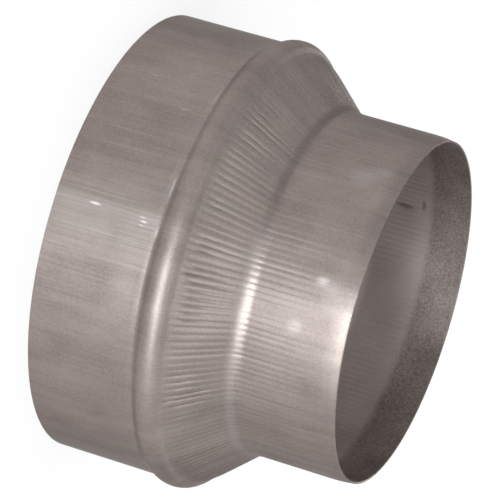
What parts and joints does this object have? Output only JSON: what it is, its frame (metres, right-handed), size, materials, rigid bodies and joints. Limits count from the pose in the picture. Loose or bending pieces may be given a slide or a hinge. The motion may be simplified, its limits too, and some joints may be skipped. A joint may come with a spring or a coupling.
{
  "type": "duct reducer",
  "caption": "Round sheet-metal duct reducer: a wide plain collar, a rounded shoulder bead and a finely fluted cone down to a narrower collar, joining ducts of different size.",
  "frame": {"origin": "centre of the large collar's rim, on the surface that the part stands on", "axes": "+Z along the duct's axis, from the large collar to the small one"},
  "size_m": [0.1322, 0.1322, 0.086],
  "materials": {
    "sheet": "satin galvanised sheet with fine streaks along the axis"
  },
  "bodies": {
    "root": {"reducer": "sheet"}
  },
  "joints": []
}
